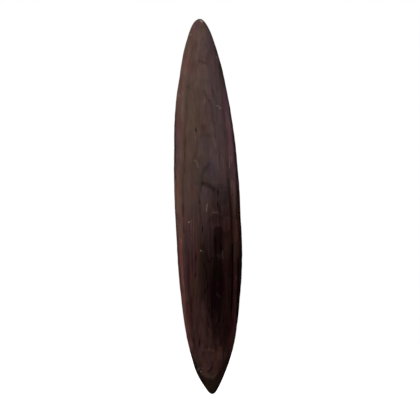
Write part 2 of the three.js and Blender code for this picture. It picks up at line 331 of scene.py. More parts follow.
# Other hues: what each multiplies red, green and blue by, and its soft patches, each ending in its strength
HUES = (
    ("violet", (1.04, 0.92, 1.15), (
        (194, 27, 4, 6, 0.8), (214, 92, 6, 14, 0.3), (226, 98, 2, 14, 1), (222, 115, 3, 7, 0.9),
        (177.5, 138, 2.4, 20, 0.9), (232, 146, 3, 28, 0.6), (207, 148, 4, 7, 0.6), (211, 168, 5, 10, 0.9),
        (205, 193, 4, 7, 0.8), (182.6, 204, 1.2, 14, 0.8), (192, 212, 7, 10, 0.5), (208, 232, 5, 16, 0.6),
        (189, 236, 5, 16, 1), (182, 262, 3, 26, 0.5), (191, 262, 5, 16, 0.8), (221, 285, 4, 8, 1),
        (214, 292, 5, 16, 1), (234, 328, 2.5, 12, 1), (222, 336, 4, 8, 0.6), (201, 340, 4, 12, 0.8),
        (210, 366, 6, 6, 0.5),
    )),
    ("olive", (0.94, 1.08, 0.88), (
        (204, 27, 5, 9, 0.8), (190, 32, 4, 9, 0.7), (187, 46, 3, 9, 0.8), (214, 50, 2.5, 14, 0.7),
        (220, 76, 3, 16, 0.9), (204, 90, 6, 8, 0.4), (187, 100, 1.4, 14, 0.9), (194, 118, 4, 14, 0.7),
        (185.2, 140, 1.5, 28, 0.6), (206, 155, 5, 6, 0.4), (203, 176, 3, 7, 0.8), (182, 178, 2, 10, 0.8),
        (178.2, 194, 1.3, 22, 1), (235.6, 214, 3, 26, 1), (228, 244, 5, 16, 0.9), (237, 244, 3.6, 20, 1),
        (183.6, 250, 1.2, 20, 0.6), (240.6, 262, 1.2, 28, 1), (203, 268, 4, 26, 0.9),
        (196, 288, 4, 12, 0.9), (205, 336, 6, 8, 0.4), (195, 362, 3, 6, 0.6), (212, 384, 13, 12, 1),
    )),
    ("red", (1.22, 0.8, 0.82), (
        (194, 46, 3, 10, 0.3), (191, 66, 3, 9, 0.5), (178.4, 120, 1.5, 12, 0.4),
        (203.5, 127, 2.6, 2.6, 0.35), (182.5, 138, 1.3, 26, 0.3), (184.5, 150, 1.6, 26, 0.5),
        (229, 158, 6, 34, 0.25), (178, 186, 1.4, 12, 0.8), (192, 192, 4, 8, 0.4),
        (238.5, 192, 1.2, 9, 0.9), (231, 200, 1.6, 14, 0.6), (180, 205, 4, 30, 0.2),
        (182.5, 214, 1.4, 12, 0.6), (188, 224, 6, 12, 0.25), (180.6, 248, 2, 18, 0.4),
        (196, 256, 1.6, 8, 0.6), (229.6, 265, 2, 10, 0.6), (217, 272, 4, 10, 0.9),
        (190, 273, 7, 16, 0.25), (236.6, 275, 1.4, 22, 0.8), (221, 286, 4, 10, 0.8),
        (231, 300, 2, 16, 0.9), (191, 310, 2.4, 16, 0.7), (229, 330, 2, 20, 0.5),
    )),
    ("wine", (1.05, 0.4, 0.9), (
        (215.4, 241, 1, 5, 0.7), (196, 256, 1, 7, 0.3), (221, 287, 4, 8, 1), (213.6, 293, 4, 14, 1),
        (213, 312, 3, 9, 0.5), (233, 322, 2, 10, 0.3),
    )),
    ("slate", (0.84, 0.97, 1.04), (
        (208, 42, 4, 16, 0.8), (174.6, 138, 1.5, 30, 1), (203.5, 142, 4, 8, 0.8), (204, 171, 3, 7, 0.9),
        (212, 171, 6, 13, 0.9), (205.5, 194, 4.5, 8, 1), (197, 196, 8, 34, 0.4), (235.4, 220, 3, 24, 0.6),
        (206, 236, 5, 20, 0.6), (226.5, 244, 3.5, 12, 0.5), (209, 249, 5, 14, 1),
        (219.5, 255, 3.5, 3.5, 1), (211, 376.5, 6, 4, 0.8),
    )),
)

# Cracks along the fibres, from their upper to their lower end
CRACKS = (
    ((195.6, 128), (196.4, 132)), ((218, 189), (218, 196)), ((217.8, 202), (217.8, 208)),
    ((202.6, 226), (202.6, 233)), ((196.3, 254), (195.7, 263)), ((204.6, 263.6), (204.8, 268.4)),
    ((206, 269), (206.5, 281)), ((195.5, 272), (195.2, 278)), ((207.5, 283.6), (207.4, 289)),
    ((205.5, 288), (205.4, 294)), ((209.5, 308), (209.4, 312)), ((219.4, 315), (219.3, 323)),
    ((223.5, 318), (223.4, 324)), ((199.5, 340), (199.3, 347)), ((200.2, 369.5), (200.8, 369.8)),
    ((199.5, 372.2), (199.5, 372.8)),
)

# Pale scratches and chips: how pale, half width, and the points that each runs through
SCRATCHES = (
    (0.45, 0.7, (200.6, 21), (202.2, 22.2)),
    (0.25, 0.4, (190, 34.5), (191.3, 34.3)),
    (0.2, 0.4, (216.5, 56.5), (217, 57.5)),
    (0.2, 0.4, (178.5, 94), (179.2, 96)),
    (0.09, 0.4, (204.6, 99.5), (204.9, 104)),
    (0.15, 0.4, (216, 106), (217.6, 105.3), (219.6, 107.8), (221.5, 107.6)),
    (0.1, 0.4, (212.6, 135.5), (214, 140), (215.4, 147)),
    (0.06, 0.4, (217.6, 155), (217.8, 169)),
    (0.07, 0.4, (221.5, 155), (221.5, 165)),
    (0.13, 0.4, (229.5, 156), (229.5, 168)),
    (0.13, 0.4, (231.8, 156), (231.8, 162)),
    (0.06, 0.4, (223.6, 158), (223.6, 168)),
    (0.14, 0.4, (194.5, 160.6), (196, 161), (197.3, 163), (197.8, 167)),
    (0.22, 0.4, (207.3, 204), (206.8, 207), (206.5, 211.5)),
    (0.1, 0.4, (212.4, 212.6), (217.7, 212.4)),
    (0.06, 0.4, (190.4, 221.3), (192, 220.3)),
    (0.8, 0.35, (188.5, 222.5), (188.9, 222.4)),
    (0.5, 0.35, (200.5, 250.5), (201.2, 250.5)),
    (0.06, 0.35, (222.5, 250.6), (222.6, 255.5), (223.5, 258.6)),
    (0.05, 0.4, (201.6, 251), (203.6, 251.6)),
    (0.04, 0.4, (236.6, 276), (236.6, 280)),
    (0.02, 0.6, (216.8, 293.6), (218.2, 296), (219.6, 296.8)),
    (0.14, 0.4, (199, 368.5), (200, 368.6)),
    (0.25, 0.3, (202.4, 368.5), (202.6, 368.5)),
    (0.1, 0.5, (196.8, 370.4), (198.5, 369.4)),
    (0.3, 0.4, (200.5, 371.5), (201.5, 371.3)),
)

# Knots in the handle: the share of its length, the angle round it and the reach in metres
HANDLE_KNOTS = ((0.30, 2.2, 0.005), (0.44, 0.2, 0.0035), (0.55, 5.1, 0.004), (0.71, 0.6, 0.005))


# Shapes

def smooth_step(value, low, high):
    """0 below low, 1 above high and a smooth rise between them."""
    share = np.clip((value - low) / (high - low), 0, 1)
    return share * share * (3 - 2 * share)


def soft_noise(a, b, seed, period=LATTICE_SIZE):
    """Smooth noise from -1 to 1 over a plane, with lattice cells of one unit, which repeats along a."""
    lattice = np.random.RandomState(seed).uniform(-1, 1, (LATTICE_SIZE, LATTICE_SIZE))
    column, row = np.floor(a).astype(int), np.floor(b).astype(int)
    fa, fb = smooth_step(a - column, 0, 1), smooth_step(b - row, 0, 1)
    corner = [[lattice[(row + j) % LATTICE_SIZE, (column + i) % period] for i in (0, 1)] for j in (0, 1)]
    near = corner[0][0] * (1 - fa) + corner[0][1] * fa
    far = corner[1][0] * (1 - fa) + corner[1][1] * fa
    return near * (1 - fb) + far * fb


def tool_marks(x, z, width, length, seed):
    """Shallow dishes side by side, as a blade leaves them: 0 in each dish's middle and 1 on the ridges."""
    a, b = x / width, z / length
    shifts = np.random.RandomState(seed).uniform(0.15, 0.85, (LATTICE_SIZE, LATTICE_SIZE, 2))
    column, row = np.floor(a).astype(int), np.floor(b).astype(int)
    nearest = np.full(np.shape(a), np.inf)
    for i in (-1, 0, 1):
        for j in (-1, 0, 1):
            shift = shifts[(row + j) % LATTICE_SIZE, (column + i) % LATTICE_SIZE]
            da = column + i + shift[..., 0] - a
            db = row + j + shift[..., 1] - b
            nearest = np.minimum(nearest, da * da + db * db)
    return np.clip(nearest, 0, 1)


def waves(a, b, height, a_length, b_length, seed):
    """Soft waves up and down by a height over a plane, with a length of their own each way."""
    return height * soft_noise(a / a_length, b / b_length, seed)


def outline_curve(shares, sweep):
    """A smooth curve through the shares, mirrored past both ends so that the tips come out round."""
    mirrored = np.array([-shares[1], *shares, -shares[-2]])
    place = np.asarray(sweep) * (len(shares) - 1)
    i = np.clip(np.floor(place).astype(int), 0, len(shares) - 2)
    f = place - i
    before, start, end, after = (mirrored[i + k] for k in range(4))
    rise, fall = (end - before) / 2, (after - start) / 2
    cubic = (2 * start - 2 * end + rise + fall) * f ** 3
    square = (-3 * start + 3 * end - 2 * rise - fall) * f ** 2
    return np.maximum(0, cubic + square + rise * f + start)


def mesh_from_grid(name, points, wrap_rows=False):
    """A closed mesh from rows of points round a section. The end rows are single points, or the rows wrap."""
    rows, columns = points.shape[:2]
    if wrap_rows:
        vertices = points.reshape(-1, 3)
        row_pairs = [(row * columns, ((row + 1) % rows) * columns) for row in range(rows)]
    else:
        inner = points[1:-1].reshape(-1, 3)
        vertices = np.vstack([inner, points[0].mean(axis=0), points[-1].mean(axis=0)])
        row_pairs = [(row * columns, (row + 1) * columns) for row in range(rows - 3)]
    here = np.arange(columns)
    after = (here + 1) % columns
    faces = []
    for low, high in row_pairs:
        faces.append(np.stack([low + here, low + after, high + after, high + here], axis=1))
    quads = np.vstack(faces).tolist()
    if not wrap_rows:
        last = (rows - 3) * columns
        first_point, last_point = len(vertices) - 2, len(vertices) - 1
        quads += [[first_point, int(b), int(a)] for a, b in zip(here, after)]
        quads += [[last_point, last + int(a), last + int(b)] for a, b in zip(here, after)]
    mesh = bpy.data.meshes.new(name)
    mesh.from_pydata(vertices.tolist(), [], quads)
    mesh.validate()
    return mesh


def set_values(mesh, values_by_name):
    """Gives a mesh from mesh_from_grid one number per point under each name, from grids of the same rows."""
    for name, grid in values_by_name.items():
        values = np.concatenate([grid[1:-1].ravel(), [grid[0, 0], grid[-1, 0]]])
        attribute = mesh.attributes.new(name, "FLOAT", "POINT")
        attribute.data.foreach_set("value", values.astype(np.float32))


def add_object(name, data):
    added = bpy.data.objects.new(name, data)
    bpy.context.scene.collection.objects.link(added)
    return added


def add_piece(name, mesh, material, slot, *nodes):
    """Puts a mesh in the scene as a piece that stands for CAD nodes and rides on the part's one body."""
    mesh.shade_smooth()
    mesh.set_sharp_from_angle(angle=SHARP_ANGLE)
    mesh.materials.clear()
    mesh.materials.append(material)
    mesh.polygons.foreach_set("material_index", np.zeros(len(mesh.polygons), np.int32))
    piece = add_object(name, mesh)
    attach(piece, "root")
    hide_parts(*nodes)


def full_turn(steps):
    """Equal angles once round."""
    return np.linspace(0, 2 * math.pi, steps, endpoint=False)


def cylinder_mesh(radius, length, centre, axis, sides=40):
    """A plain closed bar, used only to cut holes."""
    angles = full_turn(sides)
    ring = np.stack([radius * np.cos(angles), radius * np.sin(angles), np.zeros(sides)], axis=1)
    cap = np.zeros((sides, 3))
    rise = np.array([0, 0, length / 2])
    points = np.stack([cap - rise, ring - rise, ring + rise, cap + rise])
    mesh = mesh_from_grid("cutter", points)
    turn = Vector((0, 0, 1)).rotation_difference(axis).to_matrix().to_4x4()
    mesh.transform(Matrix.Translation(centre) @ turn)
    return mesh


def cut_holes(mesh, holes):
    """The mesh with closed bars cut out of it."""
    body = add_object("body", mesh)
    cutters = [add_object("hole", hole) for hole in holes]
    for cutter in cutters:
        cut = body.modifiers.new("cut", "BOOLEAN")
        cut.operation = "DIFFERENCE"
        cut.solver = "MANIFOLD"
        cut.object = cutter
    shown = body.evaluated_get(bpy.context.evaluated_depsgraph_get())
    result = bpy.data.meshes.new_from_object(shown)
    result.name = mesh.name
    for unused in (body, *cutters):
        bpy.data.objects.remove(unused)
    return result


def peg_holes():
    """The bars that cut the holes for both pegs, from side to side."""
    return [cylinder_mesh(PEG_RADIUS + FIT_GAP, 2 * BOSS_FOOT_RADIUS, (0, PEG_Y, z), Vector((1, 0, 0)))
            for z in LEG_PLACES.values()]


def sweep_back(z):
    """How far the middle of the board's edge is swept back towards the tips."""
    flat_half = FLAT_BACK_LENGTH / 2
    beyond = np.maximum(0, np.abs(z) - flat_half)
    return TIP_SWEEP * (beyond / (HALF_LENGTH - flat_half)) ** 2


def boss_rise(x, z):
    """The height of the two bosses over the flat back."""
    rise = np.zeros(np.shape(x))
    for leg_z in LEG_PLACES.values():
        reach = np.hypot(x, z - leg_z)
        climb = np.clip((BOSS_FOOT_RADIUS - reach) / (BOSS_FOOT_RADIUS - BOSS_TOP_RADIUS), 0, 1)
        rise = np.maximum(rise, BOSS_HEIGHT * (1 - np.cos(math.pi * climb)) / 2)
    return rise


def hollow_drop(x, z):
    """The depth of the dish behind the knuckles."""
    spread = math.sqrt(1 - HOLLOW_RISE_SHARE ** 2)
    ball_depth = HOLLOW_DEPTH / (1 - HOLLOW_RISE_SHARE)
    across, along = x * spread / HOLLOW_HALF_WIDTH, z * spread / HOLLOW_HALF_LENGTH
    ball = np.sqrt(np.maximum(0, 1 - across ** 2 - along ** 2))
    return np.maximum(0, ball_depth * (ball - HOLLOW_RISE_SHARE))


def line_distance(x, z, pixels):
    """The distance of each place on the board to a line through pixels of the photograph, in pixels."""
    corners = [Vector(from_photo(*pixel)) for pixel in pixels]
    nearest = np.full(np.shape(x), np.inf)
    for start, end in zip(corners, corners[1:]):
        run = end - start
        share = np.clip(((x - start.x) * run.x + (z - start.y) * run.y) / run.length_squared, 0, 1)
        nearest = np.minimum(nearest, np.hypot(x - start.x - share * run.x, z - start.y - share * run.y))
    return nearest / METRES_PER_PIXEL


def patch_reach(x, z, column, row, half_width, half_length):
    """How much of a soft patch lies at each place: 1 in its middle and 0 outside it."""
    centre_x, centre_z = from_photo(column, row)
    reach = np.hypot((x - centre_x) / half_width, (z - centre_z) / half_length) / METRES_PER_PIXEL
    return 1 - smooth_step(reach, *PATCH_FADE)


def crack_share(x, z, top, bottom):
    """1 along the middle of a crack and 0 beside it. It's widest half way down and runs out at both ends."""
    start, end = Vector(from_photo(*top)), Vector(from_photo(*bottom))
    middle = (start + end) / 2
    half_width = CRACK_HALF_WIDTH_PIXELS * METRES_PER_PIXEL
    along = (z - middle.y) / ((start.y - end.y) / 2 + half_width)
    lean = (start.x - end.x) / (start.y - end.y)
    across = (x - middle.x - lean * (z - middle.y)) / half_width
    return np.exp(-(across ** 2 + along ** 2) ** 2)


def layer_share(x, z, pixels):
    """1 inside a closed border through pixels of the photograph and 0 outside it, with a narrow soft edge."""
    corners = [from_photo(*pixel) for pixel in pixels]
    inside = np.zeros(np.shape(x), bool)
    for (start_x, start_z), (end_x, end_z) in zip(corners, corners[1:] + corners[:1]):
        slope = (end_x - start_x) / ((end_z - start_z) or 1)
        inside ^= ((start_z > z) != (end_z > z)) & (x < start_x + (z - start_z) * slope)
    distance = line_distance(x, z, (*pixels, pixels[0]))
    return smooth_step(np.where(inside, distance, -distance), -LAYER_EDGE_PIXELS, LAYER_EDGE_PIXELS)


def front_figure(x, z):
    """The figure of the front at each place: its tone, its shares of other hues, its cracks and scratches."""
    wavy_x = x + waves(x, z, 0.0012, 0.006, 0.017, seed=41) + waves(x, z, 0.0008, 0.003, 0.009, seed=42)
    wavy_z = z + waves(x, z, 0.0030, 0.005, 0.012, seed=43)
    fibre_x = x + waves(x, z, 0.0007, 0.005, 0.030, seed=45)
    fibre_z = z + waves(x, z, 0.0110, 0.0042, 0.060, seed=46)
    broken = 0.75 + waves(x, z, 0.45, 0.007, 0.011, seed=44)
    tone = np.ones(np.shape(x))
    for *patch, darkness in TONE_PATCHES:
        tone *= 1 - darkness * patch_reach(wavy_x, wavy_z, *patch)
    for darkness, *pixels in LAYERS:
        tone *= 1 - darkness * layer_share((fibre_x + wavy_x) / 2, (z + wavy_z) / 2, pixels)
    for darkness, half_width, *pixels in BANDS:
        tone *= 1 - darkness * np.exp(-(line_distance(fibre_x, fibre_z, pixels) / half_width) ** 6)
    for darkness, half_width, *pixels in FIGURE_LINES:
        tone *= 1 - darkness * broken * np.exp(-(line_distance(wavy_x, wavy_z, pixels) / half_width) ** 2)
    border_x, border_z = np.array([from_photo(*pixel) for pixel in DARK_TIP_BORDER]).T
    under_border = np.interp(wavy_x, border_x, border_z) - z
    tone *= 1 - DARK_TIP_SHARE * smooth_step(under_border, *DARK_TIP_FADE)
    figure = {"figure_tone": np.maximum(tone, DARKEST_FIGURE)}
    for name, _, patches in HUES:
        shares = [strength * patch_reach(wavy_x, wavy_z, *patch) for *patch, strength in patches]
        figure[name] = np.maximum.reduce(shares)
    figure["cracks"] = np.maximum.reduce([crack_share(x, z, top, bottom) for top, bottom in CRACKS])
    scratches = [paleness * np.exp(-(line_distance(x, z, pixels) / half_width) ** 2)
                 for paleness, half_width, *pixels in SCRATCHES]
    figure["scratches"] = np.maximum.reduce(scratches)
    return figure


def front_cuts(x, z, figure):
    """How far the front lies behind its smooth face: soft waves, long knife cuts, cracks and scratches."""
    knife_cuts = FRONT_CUTS * tool_marks(x + waves(z, x, 0.006, 0.1, 0.05, seed=6), z, 0.017, 0.16, seed=7)
    marks = CRACK_DEPTH * figure["cracks"] + SCRATCH_DEPTH * figure["scratches"]
    return waves(x, z, FRONT_WAVES, 0.045, 0.12, seed=5) + knife_cuts + marks


def back_face(x, z, middle, rounding):
    """The back with its bosses, hollow and tool marks, and how light the wood is drawn at each place, with
    painted shade and highlights on its relief.
    """
    rise, drop = boss_rise(x, z), hollow_drop(x, z)
    to_leg = np.minimum(*(np.hypot(x, z - leg) for leg in LEG_PLACES.values()))
    far_from_boss = smooth_step(to_leg, BOSS_TOP_RADIUS, BOSS_FOOT_RADIUS)
    smooth_dish = 1 - 0.7 * smooth_step(drop, 0, 0.002)
    adze_marks = tool_marks(x + waves(z, x, 0.004, 0.06, 0.06, seed=10), z, 0.018, 0.044, seed=8)
    adze = ADZE_CUTS * np.maximum(0, CUT_REACH - adze_marks) + waves(x, z, BACK_WAVES, 0.05, 0.07, seed=9)
    knife_cuts = BOSS_CUTS * np.maximum(0, CUT_REACH - tool_marks(x, z, 0.009, 0.011, seed=13))
    knife_cuts = knife_cuts * smooth_step(rise, 0, 0.3 * BOSS_HEIGHT)
    knife_cuts = knife_cuts * smooth_step(to_leg, COLLAR_RADIUS, COLLAR_RADIUS + 0.004)
    back = middle + EDGE_THICKNESS / 2 * rounding + rise - drop
    back = back - adze * rounding * far_from_boss * smooth_dish - knife_cuts

    # Lighter adze ridges and darker dish middles: partly wear and dust, partly painted highlight and painted
    # shade on the relief
    ridge_wear_and_highlight = smooth_step(adze_marks, 0.18, 0.46) * far_from_boss
    # Painted shade in the crease round each boss's foot
    crease_shade = 1 - smooth_step(np.abs(to_leg - BOSS_FOOT_RADIUS), 0.001, 0.007)
    # Painted highlight on the top of each boss
    boss_top_highlight = smooth_step(rise, 0.7 * BOSS_HEIGHT, BOSS_HEIGHT)
    broad = 0.10 * soft_noise(x / 0.07 + 0.5, z / 0.16, 11) + 0.06 * soft_noise(x / 0.03, z / 0.07, 12)
    # The last factor darkens the hollow behind the knuckles: painted shade in the recess
    tone = (0.84 + 0.36 * ridge_wear_and_highlight + broad) * (1 - 0.32 * crease_shade) * (1 + 0.16 * boss_top_highlight) * (0.7 + 0.3 * smooth_dish)
    return back, tone


def section_places(columns_front=116, columns_back=76, rim_steps=6):
    """Once round the section from the right rim over the front: the place across from -1 at the left to 1,
    how far the rim has turned from 0 to 1, and whether the place is on the front."""
    turn = np.sin(np.linspace(0, math.pi / 2, rim_steps + 1))
    front_flat = np.linspace(1, -1, columns_front + 1)
    back_flat = np.linspace(-1, 1, columns_back + 1)
    still = np.zeros(rim_steps)
    place = np.concatenate([still + 1, front_flat, still - 1, still[1:] - 1, back_flat, still[1:] + 1])
    front_turn = [turn[:0:-1], 0 * front_flat, turn[1:]]
    rim_turn = np.concatenate([*front_turn, turn[-2:0:-1], 0 * back_flat, turn[1:-1]])
    on_front = np.arange(len(place)) < 2 * rim_steps + columns_front + 1
    return place[None, :], rim_turn[None, :], on_front[None, :]


def side_half_widths(z, outlines):
    """The half widths of the board's left and right sides: an outline with its swells and an uneven edge."""
    tip_guard = smooth_step(HALF_LENGTH - np.abs(z), 0, EVEN_TIP_LENGTH)
    half_widths = []
    sizes = ((LEFT_HALF_WIDTH, LEFT_SWELLS), (RIGHT_HALF_WIDTH, RIGHT_SWELLS))
    for side, outline, (greatest, swells) in zip((-1, 1), outlines, sizes):
        noise_row = side * np.ones_like(z)
        wobble = waves(z, noise_row, EDGE_WAVES, 0.055, 1, seed=3)
        wobble += waves(z, noise_row, EDGE_RIPPLES, 0.013, 1, seed=4) - EDGE_WEAR
        for column, row, half_length, swell in swells:
            reach = np.abs(z - from_photo(column, row)[1]) / (half_length * METRES_PER_PIXEL)
            wobble += swell * (1 - smooth_step(reach, *SWELL_FADE))
        half_widths.append(outline * greatest + wobble * tip_guard)
    return half_widths


def board_grid(rows=440):
    """The board's skin, and at each point its distance to the rim and the shares of its figure."""
    place, rim_turn, on_front = section_places()
    sweep = np.linspace(0, 1, rows)[:, None]
    sweep = sweep + MIDDLE_DENSITY * np.sin(2 * math.pi * sweep) / (2 * math.pi)
    z = np.broadcast_to(HALF_LENGTH * np.cos(math.pi * sweep), (rows, place.shape[1]))
    outlines = [outline_curve(shares, sweep) for shares in (LEFT_OUTLINE_SHARES, RIGHT_OUTLINE_SHARES)]
    half_widths = side_half_widths(z[:, :1], outlines)
    rims = [np.minimum(RIM_RADIUS, half_width * RIM_LIMIT_SHARE) for half_width in half_widths]
    inner_left, inner_right = (half_width - rim for half_width, rim in zip(half_widths, rims))
    flat_x = (place - 1) / 2 * inner_left + (place + 1) / 2 * inner_right
    x = flat_x + np.sign(place) * rim_turn * np.where(place > 0, rims[1], rims[0])
    half_width = np.where(x > 0, half_widths[1], half_widths[0])
    across = x / np.maximum(half_width, 1e-9)

    into_nose = np.clip((NOSE_LENGTH - HALF_LENGTH + np.abs(z)) / NOSE_LENGTH, 0, 1)
    rounding = np.sqrt(np.maximum(0, (1 - rim_turn ** 2) * (1 - into_nose ** 2)))
    middle = BACK_Y - EDGE_THICKNESS / 2 + sweep_back(z)
    crown_height = BACK_Y - FRONT_Y - EDGE_THICKNESS
    front = middle - EDGE_THICKNESS / 2 * rounding - crown_height * sum(outlines) / 2 * (1 - across ** 2)
    figure = {name: np.where(on_front, share, name == "figure_tone")
              for name, share in front_figure(x, z).items()}
    front = front + front_cuts(x, z, figure) * rounding
    back, back_tone = back_face(x, z, middle, rounding)
    points = np.stack([x, np.where(on_front, front, back), z], axis=-1)
    shares = {"rim_distance": half_width - np.abs(x), "back_tone": np.where(on_front, 1, back_tone), **figure}
    return points, shares


def board_mesh():
    """The carved board with the sockets for its handle and the holes for its pegs."""
    points, shares = board_grid()
    mesh = mesh_from_grid("shield_board_carved", points)
    set_values(mesh, shares)
    floor_y = TENON_END_Y - FIT_GAP
    top_y = SHOULDER_Y + BOSS_HEIGHT / 2
    sockets = []
    for z in LEG_PLACES.values():
        middle = (0, (floor_y + top_y) / 2, z)
        sockets.append(cylinder_mesh(TENON_RADIUS + FIT_GAP, top_y - floor_y, middle, Vector((0, 1, 0))))
    return cut_holes(mesh, sockets + peg_holes())


def handle_line(rows):
    """Points along the sapling's middle line, the way it runs, and the length from the first tenon's end."""
    leg_z = LEG_PLACES["upper"]
    bend = -(COLLAR_TOP_Y + FIT_GAP)
    straight = -bend - TENON_END_Y
    bar = 2 * (leg_z - bend)
    quarter = math.pi * bend / 2
    total = 2 * straight + 2 * quarter + bar
    along = np.linspace(0, total, rows)
    half = np.minimum(along, total - along)
    past_leg = np.clip(half - straight, 0, quarter)
    turn = past_leg / bend
    past_bend = np.maximum(0, half - straight - quarter)
    y = np.minimum(TENON_END_Y + half, -bend) + bend * np.sin(turn)
    z = -leg_z + bend * (1 - np.cos(turn)) + past_bend
    second = along > total / 2
    z = np.where(second, -z, z)
    run_y = np.where(second, -np.cos(turn), np.cos(turn))
    run_z = np.sin(turn)
    return y, z, run_y, run_z, along, total


def whittled_share(angle, along):
    """How much of the round sapling's radius the knife leaves, with a flat face on each of its sides."""
    share = 1
    for face in range(WHITTLED_FACES):
        towards = 2 * math.pi * (face + 0.3 * math.sin(5.1 * face)) / WHITTLED_FACES
        cut = FACE_CUT_SHARE + FACE_CUT_SWAY * soft_noise(along / 0.026 + 5.3 * face, face + 0.5, 21)
        share = np.minimum(share, cut / np.maximum(0.3, np.cos(angle - towards)))
    return share


def handle_mesh(rows=420, columns=96):
    """The bent sapling: its tenons, swelled grip, knots, whittled faces, and bark left inside its bends."""
    y, z, run_y, run_z, along, total = handle_line(rows)
    to_end = np.minimum(along, total - along)
    shoulder = SHOULDER_Y - TENON_END_Y
    place = np.clip((along - shoulder) / (total - 2 * shoulder), 0, 1)
    swell = np.sin(math.pi * place) ** 2
    half_width, half_depth = (
        np.where(to_end < shoulder, TENON_RADIUS, LEG_RADIUS + (grip - LEG_RADIUS) * swell)[:, None]
        for grip in (GRIP_HALF_WIDTH, GRIP_HALF_DEPTH))
    past_gum = smooth_step(to_end, shoulder + 0.002, shoulder + 0.012)[:, None]
    loose = smooth_step(to_end, shoulder + 0.006, shoulder + 0.016)[:, None]
    y, z, run_y, run_z, along = (values[:, None] for values in (y, z, run_y, run_z, along))
    angle = full_turn(columns)[None, :]
    around = angle / (2 * math.pi)
    bark_noise = soft_noise(around * 9, along / 0.009, 23, period=9)
    knots = np.zeros((rows, columns))
    for knot_along, knot_angle, reach in HANDLE_KNOTS:
        gap = np.angle(np.exp(1j * (angle - knot_angle))) * LEG_RADIUS + 0.0006 * bark_noise
        off = (along - knot_along * total) / 1.6 + 0.0006 * bark_noise
        knot = np.exp(-(gap ** 2 + off ** 2) / reach ** 2)
        knots = np.maximum(knots, knot * loose)
    inside_bend = 2 * np.abs(run_y * run_z) * np.clip(-np.sin(angle), 0, 1)
    bark = smooth_step(0.9 * inside_bend + 0.35 * bark_noise, 0.55, 0.75) * loose
    folds = np.sin(along / 0.0009 + 7 * bark_noise) * inside_bend
    swelling = (KNOT_RISE * knots + BARK_THICKNESS * bark + BARK_FOLDS * folds) * loose
    swelling = swelling + SAPLING_WAVES * soft_noise(around * 4, along / 0.03, 22, period=4) * loose
    whittled = 1 - (1 - whittled_share(angle, along)) * loose * (1 - 0.8 * bark)
    sideways = (half_width * whittled + swelling) * np.cos(angle)
    outward = (half_depth * whittled + swelling) * np.sin(angle)
    points = np.stack([sideways, y + outward * run_z, z - outward * run_y], axis=-1)
    start, end = (np.broadcast_to([0, y[row, 0], z[row, 0]], (1, columns, 3)) for row in (0, -1))
    mesh = mesh_from_grid("handle_whittled", np.concatenate([start, points, end]))
    straightened = np.stack([sideways, outward, along * np.ones_like(angle)], axis=-1).reshape(-1, 3)
    straightened = np.vstack([straightened, [0, 0, 0], [0, 0, total]])
    attribute = mesh.attributes.new("straightened", "FLOAT_VECTOR", "POINT")
    attribute.data.foreach_set("vector", straightened.astype(np.float32).ravel())
    ridges = smooth_step(whittled, 0.955, 0.995) * loose
    values = {"knots": knots, "bark": bark, "ridges": ridges, "past_gum": past_gum * np.ones_like(angle)}
    set_values(mesh, {name: np.pad(grid, ((1, 1), (0, 0)), mode="edge") for name, grid in values.items()})
    return cut_holes(mesh, peg_holes())


def peg_mesh(side, seed, rows=44, columns=36):
    """A whittled peg: faceted sides and knife-cut ends."""
    along = np.linspace(-1, 1, rows)[:, None]
    angle = full_turn(columns)[None, :]
    end_share = smooth_step(np.abs(along), PEG_TAPER_START, 1.0)
    facets = 1 - 0.05 * np.abs(np.sin(3.5 * angle + 0.6 * soft_noise(along * 3 + 9, along, seed)))
    radius = PEG_RADIUS * facets * (1 - 0.55 * end_share)
    length = PEG_HALF_LENGTH * along * (1 - 0.01 * end_share * (1 + np.cos(angle + seed)))
    peg_z = LEG_PLACES[side]
    points = np.stack([length, PEG_Y + radius * np.cos(angle), peg_z + radius * np.sin(angle)], axis=-1)
    start, end = (np.broadcast_to([length[row].mean(), PEG_Y, peg_z], (1, columns, 3)) for row in (0, -1))
    return mesh_from_grid(f"{side}_peg_whittled", np.concatenate([start, points, end]))


def collar_mesh(side, seed, rows=120, columns=28):
    """A lumpy bead of gum pressed by hand into the corner round the leg."""
    turn = full_turn(rows)[:, None]
    section = full_turn(columns)[None, :]
    inner = LEG_RADIUS + FIT_GAP
    lumps = soft_noise(turn * 11 / (2 * math.pi), 1.2 * np.sin(section), seed, period=11)
    nubs = soft_noise(turn * 29 / (2 * math.pi), 3.0 * np.sin(section), seed + 5, period=29)
    slow = 0.5 * np.sin(3 * turn + seed) + 0.3 * np.sin(7 * turn + 2 * seed)
    presses = np.exp(-(np.abs(np.sin(2 * turn + seed / 3)) / 0.35) ** 2)
    wall = (COLLAR_RADIUS - inner) * (1.10 + 0.20 * slow - 0.26 * presses)
    height = (COLLAR_TOP_Y - SHOULDER_Y) * (0.88 + 0.10 * np.sin(2 * turn + seed) + 0.06 * presses)
    outward = (0.5 + 0.5 * np.cos(section)) ** 0.6
    upward = (0.5 + 0.5 * np.sin(section)) ** 0.6
    fullness = (1 - 0.32 * upward * outward) * (1 + (0.20 * lumps + 0.07 * nubs) * outward)
    radius = inner + wall * outward * fullness
    rise = height * upward * (1 - 0.28 * outward) - GUM_SEAT
    z = LEG_PLACES[side] + radius * np.cos(turn)
    points = np.stack([radius * np.sin(turn), SHOULDER_Y + rise, z], axis=-1)
    return mesh_from_grid(f"{side}_gum_pressed", points, wrap_rows=True)


# Materials

def srgb(red, green, blue):
    """A colour as a screen shows it, from 0 to 255, as the linear colour that a shader takes."""
    def linear(value):
        value = value / 255
        return value / 12.92 if value <= 0.04045 else ((value + 0.055) / 1.055) ** 2.4
    return (linear(red), linear(green), linear(blue), 1)


